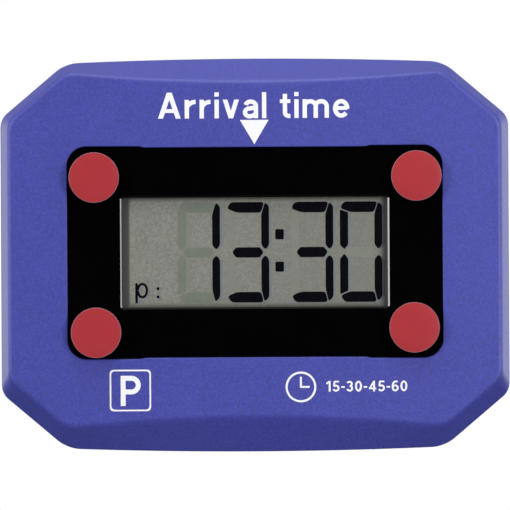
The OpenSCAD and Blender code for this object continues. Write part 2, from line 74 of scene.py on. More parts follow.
# %% [markdown]
# ## Reading depths and centres off the CAD
# No place is typed in twice. Lengths are turned into millimetres once, because the
# outlines are easier to think about in millimetres.

# %% Depths and centres
def box_mm(node):
    """Lowest and highest corner of a CAD node, in millimetres."""
    low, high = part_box(node)
    return np.array(low) / MM, np.array(high) / MM

def centre_mm(node):
    """Middle of a node's box, in millimetres."""
    low, high = box_mm(node)
    return (low + high) / 2

def round_mm(node):
    """A round node's centre (x, z), its radius, and the depths of its front and back."""
    low, high = box_mm(node)
    return (low + high)[[0, 2]] / 2, (high - low)[0] / 2, low[1], high[1]

shell_low, shell_high = box_mm("front_housing")
panel_low, panel_high = box_mm("window_bezel")
half_w = shell_high[0]
half_h_crown = shell_high[2]
panel_y, panel_back = panel_low[1], panel_high[1]
face_y = shell_low[1]
TONGUE = 1.2                   # how far the rear shell's tongue reaches into the front shell
joint_y = box_mm("rear_housing")[0][1] + TONGUE
back_y = box_mm("rear_housing")[1][1]
ledge_y = box_mm("lcd_holder")[0][1]
rise = centre_mm("window_bezel")[2]
glass_half = (box_mm("lcd_front_glass")[1] - box_mm("lcd_front_glass")[0]) / 2
print(f"face {face_y:.2f}, window {panel_y:.2f}, joint {joint_y:.2f}, back {back_y:.2f} mm")

# %% [markdown]
# ## From arrays to a mesh
# Every new piece starts as an array of points. A surface on a grid of two parameters needs
# only one rule for its faces: each point joins to its neighbours along both directions. The
# helper below writes the arrays straight into the mesh, turns the normals outwards and marks
# the edges that are sharper than a chosen angle, so that rounded parts shade smoothly.

# %% Mesh helpers
def shaped(name, mesh, body, sharp, weld, mend):
    """An object of the mesh, welded and mended, riding on a body, its sharp edges marked."""
    shape = bmesh.new()
    shape.from_mesh(mesh)
    bmesh.ops.remove_doubles(shape, verts=shape.verts, dist=weld)
    mend(shape)
    shape.to_mesh(mesh)
    shape.free()
    mesh.shade_smooth()
    mesh.set_sharp_from_angle(angle=math.radians(sharp))
    piece = bpy.data.objects.new(name, mesh)
    scene.collection.objects.link(piece)
    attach(piece, body)
    return piece

def piece_from(name, points_mm, faces, body="casing", sharp=30):
    """A new object from points in millimetres and a list of faces, riding on a body."""
    mesh = bpy.data.meshes.new(name)
    mesh.from_pydata((np.asarray(points_mm, float) * MM).tolist(), [], faces)
    return shaped(name, mesh, body, sharp, 1e-7,
                  lambda shape: bmesh.ops.recalc_face_normals(shape, faces=shape.faces))

def points_of(piece):
    """A piece's vertices, in metres, one row each."""
    flat = np.empty(len(piece.data.vertices) * 3)
    piece.data.vertices.foreach_get("co", flat)
    return flat.reshape(-1, 3)

def grid_faces(rows, cols, wrap_rows=False, wrap_cols=False):
    """Quads of a grid: point (i, j) joins to (i + 1, j) and (i, j + 1)."""
    i = np.arange(rows if wrap_rows else rows - 1)[:, None]
    j = np.arange(cols if wrap_cols else cols - 1)[None, :]
    corner = lambda a, b: (a % rows) * cols + b % cols
    quads = [corner(i, j), corner(i + 1, j), corner(i + 1, j + 1), corner(i, j + 1)]
    return np.stack(np.broadcast_arrays(*quads), -1).reshape(-1, 4).tolist()

def turned(name, profile, centre, body, steps=96, sharp=30):
    """Profile points (radius, depth) carried round an axis along Y through centre (x, z)."""
    r, y = np.asarray(profile, float).T
    angle = np.linspace(0, 2 * np.pi, steps, endpoint=False)
    x = centre[0] + r[:, None] * np.cos(angle)
    z = centre[1] + r[:, None] * np.sin(angle)
    points = np.stack([x, np.broadcast_to(y[:, None], x.shape), z], -1).reshape(-1, 3)
    return piece_from(name, points, grid_faces(len(r), steps, wrap_cols=True), body, sharp)

def corner_round(a, corner, b, steps=6):
    """Points of the curve from a to b that leaves and arrives in line with the corner."""
    t = np.linspace(0, 1, steps)[:, None]
    a, corner, b = (np.asarray(p, float) for p in (a, corner, b))
    return (1 - t) ** 2 * a + 2 * t * (1 - t) * corner + t ** 2 * b

def copy_of(node, body, bevel, sharp=28):
    """A merged copy of a CAD mesh, its flat regions made whole and its edges softened."""
    mesh = frame["nodes"][node].data.copy()
    mesh.materials.clear()
    piece = shaped(node + "_finished", mesh, body, sharp, 2e-7,
                   lambda shape: bmesh.ops.dissolve_limit(
                       shape, angle_limit=math.radians(0.5), verts=shape.verts,
                       edges=shape.edges))
    soft = piece.modifiers.new("soft edges", "BEVEL")
    soft.width, soft.segments, soft.limit_method = bevel * MM, 2, "ANGLE"
    soft.angle_limit, soft.harden_normals = math.radians(sharp), True
    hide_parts(node)
    return piece

# %% [markdown]
# ## Shader maths in Python
# A `Wire` is one socket's output. Adding, multiplying or raising wires drops Math nodes into
# the tree, and plain numbers may stand on either side. A `Look` owns one material and its
# `node` method makes any other node: settings first, then the values or links of its inputs.

# %% Wires and looks
class Wire:
    """A socket in a node tree, with Python's operators."""
    def __init__(self, look, socket):
        self.look, self.socket = look, socket

    def maths(self, operation, *others, flip=False):
        values = [self, *others]
        values = values[::-1] if flip else values
        return self.look.node("ShaderNodeMath", dict(operation=operation),
                              dict(enumerate(values)))

    def __add__(self, other): return self.maths("ADD", other)
    def __radd__(self, other): return self.maths("ADD", other)
    def __sub__(self, other): return self.maths("SUBTRACT", other)
    def __rsub__(self, other): return self.maths("SUBTRACT", other, flip=True)
    def __mul__(self, other): return self.maths("MULTIPLY", other)
    def __rmul__(self, other): return self.maths("MULTIPLY", other)
    def __truediv__(self, other): return self.maths("DIVIDE", other)
    def __rtruediv__(self, other): return self.maths("DIVIDE", other, flip=True)
    def __pow__(self, other): return self.maths("POWER", other)

    def ramp(self, low, high):
        """0 below low, 1 above high, smooth between them."""
        return self.look.node("ShaderNodeMapRange", dict(interpolation_type="SMOOTHSTEP"),
                              {"Value": self, "From Min": low, "From Max": high})


class Look:
    """A finish: one material, with a Principled shader at its end."""
    def __init__(self, name, colour=(0.5, 0.5, 0.5), roughness=0.5, tree=None, **fixed):
        self.tree = tree
        if tree is None:
            self.material = bpy.data.materials.new(name)
            self.material.use_nodes = True
            self.tree = self.material.node_tree
            self.shader = self.tree.nodes["Principled BSDF"]
            self.feed({"Base Color": (*colour, 1), "Roughness": roughness, **fixed})

    def node(self, kind, settings=None, inputs=None, output=0):
        made = self.tree.nodes.new(kind)
        for key, value in (settings or {}).items():
            setattr(made, key, value)
        self.wire(made, inputs or {})
        return Wire(self, made.outputs[output])

    def wire(self, made, inputs):
        for key, value in inputs.items():
            if isinstance(value, Wire):
                self.tree.links.new(value.socket, made.inputs[key])
            else:
                made.inputs[key].default_value = value

    def feed(self, inputs):
        """Sets or links inputs of the Principled shader."""
        self.wire(self.shader, inputs)
        return self

    def place(self):
        """Object coordinates, in metres, which are the CAD's own."""
        return self.node("ShaderNodeTexCoord", output="Object")

    def noise(self, size_mm, detail=2.0, roughness=0.5, where=None):
        """Smooth random values whose blobs are about size_mm across."""
        return self.node("ShaderNodeTexNoise", {}, {
            "Vector": where or self.place(), "Scale": 1 / (size_mm * MM),
            "Detail": detail, "Roughness": roughness})

    def cells(self, size_mm, feature="F1"):
        """Distance to the nearest of scattered points, size_mm apart."""
        return self.node("ShaderNodeTexVoronoi", dict(feature=feature), {
            "Vector": self.place(), "Scale": 1 / (size_mm * MM)})

    def mixed(self, share, first, second):
        """A colour between two colours."""
        four = lambda c: c if isinstance(c, Wire) else (*c, 1)
        return self.node("ShaderNodeMix", dict(data_type="RGBA"),
                         {0: share, 6: four(first), 7: four(second)}, output=2)

    def relief(self, height, depth_mm, strength=1.0):
        """A Bump node: height 0 to 1 stands for depth_mm of real relief."""
        return self.node("ShaderNodeBump", {}, {
            "Height": height, "Distance": depth_mm * MM, "Strength": strength})

    def put_on(self, *pieces):
        """Covers each piece, or each CAD node's object, with this finish."""
        for piece in pieces:
            piece.data.materials.clear()
            piece.data.materials.append(self.material)
        return self

# %% [markdown]
# ## The eight-sided outline
# The casing is a rectangle with cut-off corners and gently bowed long edges. One quarter of
# it is: a side edge, an arc, the sloping corner, a second arc and half of the long edge. Five
# numbers describe it, so that a ring halfway between two outlines is made by averaging
# numbers. Every ring has the same count of points in each stretch, and rings therefore join
# into clean strips of quads.

# %% Outline of the casing
SLOPE = math.radians(40.3)
CORNER = np.array([math.sin(SLOPE), math.cos(SLOPE)])
CROWN, WAIST, FACE_RISE = 0.8, -2.1, 1.1
SIDE_R, TOP_R = 4.0, 7.5
SIDE_N, ARC_N, CUT_N, TOP_ARC_N, EDGE_N = 16, 12, 12, 16, 44
CUT_BACK = 13.5                # how much of each end a cut corner takes
BEVEL_SIDE, BEVEL_END, BEVEL_CUT = 1.7, 3.1, 2.5

half_h = half_h_crown - CROWN
corner_c = (half_w - CUT_BACK) * CORNER[0] + half_h * CORNER[1]
OUTER = np.array([half_w, half_h, corner_c, CROWN, 0])
RIDGE = np.array([half_w - BEVEL_SIDE, half_h - BEVEL_END, corner_c - BEVEL_CUT, WAIST,
                  FACE_RISE])
INWARD = np.array([1, 1, 1, 0, 0])

def arc(corner, start, stop, radius, count):
    """Points of the arc that rounds a corner, turning from direction start to stop."""
    middle, half = (start + stop) / 2, (stop - start) / 2
    hub = corner - radius / math.cos(half) * np.array([math.cos(middle), math.sin(middle)])
    angle = np.linspace(start, stop, count)
    return hub + radius * np.stack([np.cos(angle), np.sin(angle)], -1)

def straight(a, b, count):
    """Points from a towards b, without b."""
    return a + (b - a) * np.linspace(0, 1, count, endpoint=False)[:, None]

def quarter_casing(shape):
    """First quadrant of the outline, from the side's middle to the top's middle."""
    w, h, c = shape[:3]
    side = np.array([w, (c - CORNER[0] * w) / CORNER[1]])
    top = np.array([(c - CORNER[1] * h) / CORNER[0], h])
    turn = math.pi / 2 - SLOPE
    first = arc(side, 0, turn, SIDE_R, ARC_N)
    second = arc(top, turn, math.pi / 2, TOP_R, TOP_ARC_N)
    return np.concatenate([
        straight(np.array([w, 0]), first[0], SIDE_N), first,
        straight(first[-1], second[0], CUT_N + 1)[1:], second,
        straight(second[-1], np.array([0, h]), EDGE_N + 1)[1:], [[0, h]]])

RELIEF_START, RELIEF_RUN = 15.9, 1.4

def quarter_window(w, h, radius, relief=0.0):
    """First quadrant of a rectangle with round corners; relief lifts the ends of its top."""
    corner = arc(np.array([w, h + relief]), 0, math.pi / 2, radius,
                 ARC_N + CUT_N + TOP_ARC_N)
    x = np.linspace(corner[-1, 0], 0, EDGE_N + 1)[1:]
    share = np.clip((x - (w - RELIEF_START)) / RELIEF_RUN, 0, 1)
    top = np.stack([x, h + relief * share * (2 - share)], -1)
    side = straight(np.array([w, 0]), corner[0], SIDE_N)
    return np.concatenate([side, corner, top, [[0, h]]])

def whole(quarter):
    """A closed loop from its first quadrant, mirrored into the other three."""
    back = quarter[::-1]
    return np.concatenate([quarter[:-1], (back * [-1, 1])[:-1],
                           (quarter * [-1, -1])[:-1], (back * [1, -1])[:-1]])

def casing_ring(shape, y):
    """The outline at depth y: the long edges bow by a parabola, then the whole ring rises."""
    loop = whole(quarter_casing(shape))
    x_end = (shape[2] - CORNER[1] * shape[1]) / CORNER[0]
    bow = shape[3] * np.maximum(0, 1 - (loop[:, 0] / x_end) ** 2)
    z = loop[:, 1] + np.sign(loop[:, 1]) * bow + shape[4]
    return np.stack([loop[:, 0], np.full(len(loop), y), z], -1)

def window_ring(w, h, radius, y, relief=0.0):
    """A window's outline at depth y, raised to the middle of the window."""
    loop = whole(quarter_window(w, h, radius, relief))
    return np.stack([loop[:, 0], np.full(len(loop), y), loop[:, 1] + rise], -1)

def between(a, b, count):
    """Rings in even steps from ring a to ring b, without the first."""
    return [a + (b - a) * t for t in np.linspace(0, 1, count + 1)[1:]]

def held_flat(a, b, count, margin=0.015):
    """Rings between a and b, with one more close to each end: they keep the smooth shading
    of the rounded edges from spreading over the flat part."""
    steps = np.concatenate([[margin], np.linspace(0, 1, count + 1)[1:-1], [1 - margin]])
    return [a + (b - a) * t for t in steps]

print("points in each ring:", len(casing_ring(OUTER, 0)))

# %% [markdown]
# ## Front shell
# The front shell is one continuous skin: up the inside of the window, over the flat face,
# round the ridge, down the bevel to a straight band, over the joint's edge and back along the
# inner wall. Each stage is a ring, and the list of rings closes on itself like a tyre, which
# keeps the shell watertight. The ridge is a curve whose ends lie in line with the face and
# with the bevel, so it catches the light as a soft line.

# %% Front shell
RIDGE_R, BEVEL = 0.8, 6.5
WINDOW_GAP, RELIEF, WINDOW_R = 0.15, 0.25, 4.0
WALL, STEP_IN, STEP_DEEP, FACE_T, HOLDER_RIM = 2.0, 1.1, 1.3, 2.5, 1.65
band_y = face_y + BEVEL
win_w, win_h = panel_high[0] + WINDOW_GAP, (panel_high[2] - panel_low[2]) / 2 + WINDOW_GAP
glass_w, glass_h = glass_half[0] + WINDOW_GAP, glass_half[2] + WINDOW_GAP

def opening(depth, grow=0.0):
    """The hole in the face, a little larger than the black panel that fills it."""
    return window_ring(win_w + grow, win_h + grow, WINDOW_R + grow, depth, RELIEF)

def ridge_rings(steps=8):
    """Shape numbers and depth together follow one curve from the face to the bevel."""
    start = np.append(RIDGE - RIDGE_R * INWARD, face_y)
    slope = (BEVEL - RIDGE_R) / BEVEL
    end = np.append(OUTER + (RIDGE - OUTER) * slope, face_y + RIDGE_R)
    curve = corner_round(start, np.append(RIDGE, face_y), end, steps)
    return [casing_ring(row[:5], row[5]) for row in curve]

LIP_R = 0.15
lip = [opening(panel_back), *between(opening(panel_back), opening(face_y + LIP_R), 3)]
lip += [opening(face_y + LIP_R * (1 - math.sin(a)), LIP_R * (1 - math.cos(a)))
        for a in np.linspace(0, math.pi / 2, 6)[1:]]
ridge = ridge_rings()
face = held_flat(lip[-1], ridge[0], 10)
band = casing_ring(OUTER, band_y)
bevel = between(ridge[-1], ridge[-1] + (band - ridge[-1]) * 0.95, 8)
bend = corner_round(bevel[-1].ravel(), band.ravel(), casing_ring(OUTER, band_y + 0.4).ravel(), 5)
bend = [ring.reshape(-1, 3) for ring in bend[1:]]
edge = [casing_ring(OUTER - inset * INWARD, joint_y + deeper) for inset, deeper in
        ((0, -0.18), (0.12, -0.03), (0.3, 0), (STEP_IN, 0), (STEP_IN, -STEP_DEEP),
         (WALL, -STEP_DEEP))]
inside = [casing_ring(OUTER - WALL * INWARD, band_y),
          casing_ring(OUTER + (RIDGE - OUTER) * 0.6 - WALL * INWARD, face_y + FACE_T)]
inside += [window_ring(win_w + HOLDER_RIM, win_h + HOLDER_RIM, 0.5, depth)
           for depth in (face_y + FACE_T, ledge_y)]
inside += [window_ring(glass_w, glass_h, 0.3, depth) for depth in (ledge_y, panel_back)]

rings = np.array(lip + face + ridge + bevel + bend + edge + inside)
front_shell = piece_from("front_shell", rings.reshape(-1, 3),
                         grid_faces(*rings.shape[:2], wrap_rows=True, wrap_cols=True))
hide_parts("front_housing")
print("front shell:", rings.shape[0], "rings of", rings.shape[1], "points")

# %% [markdown]
# ## Window panel
# The black panel is polished plastic. Its opening has a narrow slanting edge that throws the
# side lights back as a thin bright line, so that edge is modelled, tilted a third of the way
# from the face. The outer edge has a small round.

# %% Window panel
FILM_PAST, GLASS_PAST = 0.6, 3.8     # how far film and glass reach past the view opening
VIEW_W, VIEW_H = box_mm("lcd_front_film")[1][0] - FILM_PAST, glass_half[2] - GLASS_PAST
SLANT_W, SLANT_D, EDGE_R, SEAM = 0.42, 0.17, 0.18, 0.04

def panel_ring(grow, y):
    """The view opening, grown by some millimetres, at depth y."""
    return window_ring(VIEW_W + grow, VIEW_H + grow, 0.3 + grow, y)

def panel_edge(shrink, y):
    """The panel's outer edge, a fine seam away from the front shell."""
    return opening(y, -SEAM - shrink)

slant = [panel_ring(SLANT_W * t, panel_y + SLANT_D * (1 - t) ** 1.08)
         for t in np.linspace(0, 1, 5)]
rim = [panel_edge(EDGE_R * (1 - math.cos(a)), panel_y + EDGE_R * (1 - math.sin(a)))
       for a in np.linspace(math.pi / 2, 0, 6)]
rings = np.array([panel_ring(0, panel_back), *slant, *held_flat(slant[-1], rim[0], 3, 0.006),
                  *rim, panel_edge(0, panel_back)])
window_panel = piece_from("window_panel", rings.reshape(-1, 3),
                          grid_faces(*rings.shape[:2], wrap_rows=True, wrap_cols=True),
                          sharp=20)
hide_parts("window_bezel")
print("view opening:", round(2 * VIEW_W, 2), "x", round(2 * VIEW_H, 2), "mm")

# %% [markdown]
# ## Display
# A reflective display is a grey sheet behind glass, with dark figures just in front of it.
# The figures are thin plates cut to the seven classic segments: every segment is a polygon
# whose corners are softened, then given a small thickness. Behind each dark plate lies a
# paler double, shifted to the right and down: a painted shadow, a tinted copy that stands
# for the faint shade the figures throw on the reflector. The segments that are off show as
# a hint of green, and in the first cell they get such a painted shadow double too.

# %% Display sheet
SHEET_GAP, SHEET_T, SHEET_MARGIN = 0.3, 1.2, 1.2
sheet_y = panel_back + SHEET_GAP
sheet_w, sheet_h = VIEW_W + SHEET_MARGIN, VIEW_H + SHEET_MARGIN
corners = [window_ring(sheet_w, sheet_h, 0.5, y) for y in (sheet_y, sheet_y + SHEET_T)]
inner = window_ring(0.5, 0.5, 0.4, sheet_y)
rings = np.array([inner, *between(inner, corners[0], 4), corners[1],
                  inner + [0, SHEET_T, 0]])
count = rings.shape[1]
caps = [list(range(count)), list(range(rings[:-1].size // 3, rings.size // 3))]
display_sheet = piece_from("display_sheet", rings.reshape(-1, 3),
                           grid_faces(*rings.shape[:2], wrap_cols=True) + caps)
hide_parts("lcd_front_film", "lcd_front_glass", "lcd_rear_glass",
            "lcd_reflector")

# %% Plates cut from outlines
HAIR = 0.0005

def softened(points, radius, steps=5):
    """Cuts each corner of a polygon back by radius along both edges, and rounds it."""
    points = np.asarray(points, float)
    before, after = np.roll(points, 1, 0) - points, np.roll(points, -1, 0) - points
    reach = lambda edge: np.minimum(radius, 0.45 * np.linalg.norm(edge, axis=1))[:, None]
    unit = lambda edge: edge / np.linalg.norm(edge, axis=1)[:, None]
    start, end = points + unit(before) * reach(before), points + unit(after) * reach(after)
    t = np.linspace(0, 1, steps)[None, :, None]
    a, b, c = start[:, None], points[:, None], end[:, None]
    return ((1 - t) ** 2 * a + 2 * t * (1 - t) * b + t ** 2 * c).reshape(-1, 2)

def plates(name, outlines, y, thick, body="casing"):
    """Thin closed plates, from outlines in (x, z), between depths y and y + thick. Their
    depths take turns, four of them a hair apart, so that crossing plates share no face."""
    points, faces, start = [], [], 0
    for index, outline in enumerate(outlines):
        n = len(outline)
        depth = y + HAIR * (index % 4)
        front = np.stack([outline[:, 0], np.full(n, depth), outline[:, 1]], -1)
        points += [front, front + [0, thick, 0]]
        ring = np.arange(n)
        sides = np.stack([ring, (ring + 1) % n, (ring + 1) % n + n, ring + n], -1) + start
        faces += sides.tolist() + [(ring + start).tolist(), (ring + n + start).tolist()]
        start += 2 * n
    return piece_from(name, np.concatenate(points), faces, body, sharp=40)

# %% The seven segments
CELL_W, CELL_H, CELL_TOP = 8.68, 20.67, 10.91
CELLS = [(-15.9, "bc"), (-5.79, "abcdg"), (7.44, "abcdg"), (17.53, "abcdef")]
SEGMENTS = {
    "a": [(0, 6.5), (4, 0), (37.4, 0), (34.1, 10.5), (10.6, 10.5)],
    "b": [(38.1, 0.2), (42.1, 4), (42.1, 42.9), (38.5, 47.6), (34.4, 42.9), (34.4, 12.4)],
    "c": [(38.5, 52.6), (42.1, 57.4), (42.1, 94.5), (37.4, 99.4), (34.4, 87.6), (34.4, 57.4)],
    "d": [(0.4, 93.7), (9.8, 89.6), (34.1, 89.6), (36.5, 100), (4.6, 100)],
    "e": [(4.3, 51.9), (8.1, 57), (8.1, 88.9), (0, 92.2), (0, 57)],
    "f": [(0, 7.8), (8.1, 10.6), (8.1, 43), (4.3, 47.5), (0, 43)],
    "g": [(5.4, 50), (9.1, 45.1), (32.9, 45.1), (36.5, 50), (32.9, 55.2), (9.1, 55.2)]}
SOFT = {"a": 3.2, "d": 3.2, "b": 2.6, "c": 2.6}

def segment(letter, left):
    """One segment of the cell that starts at left: its outline is in hundredths of the
    cell's height, and a cell is 42 of them wide."""
    outline = softened(SEGMENTS[letter], SOFT.get(letter, 1.6))
    return np.stack([left + outline[:, 0] * CELL_W / 42, CELL_TOP - outline[:, 1] * CELL_H / 100],
                    -1)

def block(x0, x1, z0, z1, radius=0.15):
    """A rectangle with round corners."""
    return softened([(x0, z0), (x1, z0), (x1, z1), (x0, z1)], radius)

def band_round(centre, outer, inner, start, stop, steps=40):
    """A curved stroke: an outer elliptical arc joined to an inner one."""
    angle = np.radians(np.linspace(start, stop, steps))
    sweep = np.stack([np.cos(angle), np.sin(angle)], -1)
    return np.concatenate([centre + sweep * outer, (centre + sweep * inner)[::-1]])

lit = [segment(s, left) for left, on in CELLS for s in on]
unlit = [segment(s, CELLS[0][0]) for s in "adefg"]
faint = [segment(s, left) for left, on in CELLS[1:] for s in "abcdefg" if s not in on]
colon = [block(4.2, 5.95, 3.2, 5.3, 0.3), block(4.2, 5.95, -3.45, -1.4, 0.3)]
small_dots = [block(-20.3, -19.75, -7.1, -6.55), block(-20.3, -19.75, -8.8, -8.25)]
stem = block(-24.7, -24.2, -9.8, -5.7)
bowl = band_round(np.array([-23.25, -7.2]), (1.18, 1.6), (0.7, 1.12), -178, 178)
lit += [*colon, stem, *small_dots, bowl]

PLATE, FIGURE_LIFT, SHADE_LIFT, HINT_SINK = 0.012, 0.04, 0.02, 0.004
shift = lambda outlines, dx, dz: [o + [dx, dz] for o in outlines]
display_figures = plates("display_figures", lit, sheet_y - FIGURE_LIFT, PLATE)
# Painted shadow: a paler copy of the lit figures, shifted right and down onto the sheet.
display_shade = plates("display_shade", shift(lit, 0.5, -0.08), sheet_y - SHADE_LIFT, PLATE)
display_ghosts = plates("display_ghosts", unlit, sheet_y - PLATE, PLATE / 2)
# Hints of the off segments in the other cells, plus a painted shadow: copies of the first cell's
# off segments shifted right.
display_hints = plates("display_hints", faint + shift(unlit, 0.85, -0.08),
                       sheet_y - PLATE + HINT_SINK, PLATE / 2)
print("shapes on:", len(lit), "off:", len(unlit) + len(faint))

# %% [markdown]
# ## Printed marks
# White print has almost no thickness, but a real edge catches light, so each mark is a plate
# a few hundredths of a millimetre proud of the face. The letters are drawn, not typed: every
# character is a few thick lines. A thick line is its path moved half a line width to either
# side; where the path turns, the two side steps n1 and n2 meet at 2 (n1 + n2) / |n1 + n2|^2.
# The marks are plain ones: a title, an arrowhead, the parking P in its frame, a small clock
# and a row of minutes.

# %% Characters
LINE, LOWER = 0.165, 0.72      # width of a line and height of small letters, in cap heights

def stroke(path, width=LINE):
    """The outline of a thick line along a path, with pointed corners."""
    path = np.asarray(path, float)
    step = np.diff(path, axis=0)
    side = (step / np.linalg.norm(step, axis=1)[:, None])[:, ::-1] * [-1, 1]
    join = np.concatenate([side[:1], side]) + np.concatenate([side, side[-1:]])
    join *= width / (join ** 2).sum(1)[:, None]
    return np.concatenate([path + join, (path - join)[::-1]])

def oval(x, z, wide, high, start, stop):
    """Points on an ellipse, from one angle in degrees to another."""
    angle = np.radians(np.linspace(start, stop, 22))
    return np.stack([x + wide * np.cos(angle), z + high * np.sin(angle)], -1)

def upright(x, top, low=0.0):
    """A standing line, one line width across."""
    return np.array([(x, low), (x + LINE, low), (x + LINE, top), (x, top)])

def level(x0, x1, z, thick=0.145):
    """A lying line, a little thinner than a standing one."""
    return np.array([(x0, z), (x1, z), (x1, z + thick), (x0, z + thick)])

mirror = lambda outline, width: np.stack([width - outline[:, 0], outline[:, 1]], -1)
joined = lambda *parts: np.concatenate([np.atleast_2d(part) for part in parts])
a_leg = np.array([(0, 0), (0.19, 0), (0.53, 1), (0.34, 1)])
v_leg = np.array([(0, LOWER), (0.18, LOWER), (0.395, 0), (0.225, 0)])
arch = lambda x: stroke(joined(oval(x + 0.21, 0.45, 0.21, 0.1875, 180, 0), (x + 0.42, 0)))
ring = lambda z, high: [stroke(oval(0.3, z, 0.215, high, a, a + 181)) for a in (0, 180)]
CHARACTERS = {
    "A": (0.87, [a_leg, mirror(a_leg, 0.87), level(0.19, 0.68, 0.22)]),
    "r": (0.42, [upright(0, LOWER), stroke(oval(0.42, 0.36, 0.335, 0.2775, 180, 90))]),
    "i": (LINE, [upright(0, LOWER), upright(0, 1, 0.84)]),
    "v": (0.62, [v_leg, mirror(v_leg, 0.62)]),
    "a": (0.58, [upright(0.415, 0.5), stroke(oval(0.3, 0.47, 0.2, 0.1675, 165, 0)),
                 stroke(joined((0.5, 0.41), oval(0.25, 0.225, 0.17, 0.15, 90, 270),
                               oval(0.25, 0.25, 0.25, 0.175, 275, 350)))]),
    "l": (LINE, [upright(0, 1)]),
    "t": (0.40, [upright(0.11, 0.93, 0.2), level(0, 0.4, 0.575),
                 stroke(joined(oval(0.345, 0.21, 0.1525, 0.1325, 180, 270), (0.4, 0.0775)))]),
    "m": (1.01, [upright(0, LOWER), arch(0.0825), arch(0.5025)]),
    "e": (0.63, [level(0.1, 0.55, 0.3), stroke(oval(0.315, 0.36, 0.2325, 0.2775, -4, 322))]),
    "P": (0.68, [upright(0, 1),
                 stroke(joined((0.1, 0.9175), oval(0.36, 0.69, 0.2275, 0.2275, 90, -90),
                               (0.1, 0.4625)))]),
    "0": (0.60, ring(0.5, 0.4175)),
    "1": (0.40, [upright(0.21, 1), np.array([(0, 0.66), (0.21, 0.78), (0.21, 1), (0, 0.82)])]),
    "3": (0.60, [stroke(oval(0.28, 0.72, 0.19, 0.1975, 160, -90)),
                 stroke(oval(0.28, 0.3, 0.2175, 0.2175, 90, -160))]),
    "4": (0.64, [upright(0.365, 1), level(0, 0.64, 0.21),
                 stroke([(0.08, 0.29), (0.42, 0.9)], 0.15)]),
    "5": (0.60, [level(0.12, 0.55, 0.855), stroke([(0.17, 0.9), (0.12, 0.5)], 0.15),
                 stroke(oval(0.29, 0.32, 0.2275, 0.2375, 140, -155))]),
    "6": (0.60, ring(0.3175, 0.235) + [stroke(oval(0.36, 0.55, 0.2775, 0.3675, 192, 62))]),
    "-": (0.30, [level(0, 0.3, 0.34, 0.16)]), " ": (0.22, [])}

def written(words, x0, x1, z0, z1, gap=0.1):
    """The outlines of some words, fitted into the box x0 to x1, z0 to z1 on the face."""
    outlines, pen = [], 0.0
    for letter in words:
        wide, parts = CHARACTERS[letter]
        outlines += [part + [pen, 0] for part in parts]
        pen += wide + gap
    return [[x0, z0] + outline * [(x1 - x0) / (pen - gap), z1 - z0] for outline in outlines]

# %% Printed marks
PRINT_T = 0.02
print_y = face_y - PRINT_T

TITLE_BOX, PARKING_BOX = (-19.8, 19.6, 28.15, 33.5), (-27.8, -23.6, -30.9, -24.7)
MINUTES_BOX, FRAME_LINE = (14.5, 31.2, -28.2, -26.0), 0.32

def ring_mark(centre, outer, line):
    """A closed circular line, as two half rings."""
    return [band_round(np.array(centre), (outer, outer), (outer - line,) * 2, a, a + 180.5)
            for a in (0, 180)]

title = plates("title_print", written("Arrival time", *TITLE_BOX, 0.15), print_y, PRINT_T)
arrowhead = [np.array([(-2.95, 27.8), (2.95, 27.8), (0, 22.8)])]
outer_frame = softened([(-30.05, -32), (-21.55, -32), (-21.55, -23.45), (-30.05, -23.45)], 0.9)
frame_middle = outer_frame.mean(0)
inner_frame = frame_middle + (outer_frame - frame_middle) * (1 - FRAME_LINE / 4.25)
half = len(outer_frame) // 2
frame_line = [np.concatenate([part(outer_frame), part(inner_frame)[::-1]]) for part in
              (lambda loop: loop[:half + 1], lambda loop: np.append(loop[half:], loop[:1], 0))]
parking_letter = plates("parking_print", written("P", *PARKING_BOX), print_y, PRINT_T)
minutes = plates("minutes_print", written("15-30-45-60", *MINUTES_BOX, 0.14), print_y, PRINT_T)
clock_mark = ring_mark((9.3, -27.2), 3.16, 0.42)
clock_mark += [block(9.1, 9.5, -27.4, -25.1, 0.1), block(9.1, 11.1, -27.4, -27.0, 0.1)]
face_marks = plates("face_marks", arrowhead + frame_line + clock_mark, print_y, PRINT_T)
print("printed plates:", [len(piece.data.polygons) for piece in (title, minutes, face_marks)])

# %% [markdown]
# ## Adhesive pads
# Four foam discs hold the disc to the windscreen, each still under its red release liner.
# They are soft, so the side of each one swells a little and is never quite round: the radius
# is the disc's own plus a swelling across its thickness and a few slow waves round it. The
# liner is a thin sheet that lies on the foam with its cut edge showing.

# %% Foam pads and liners
SWELL, OVERHANG, RIM_W = 0.12, 0.12, 0.11

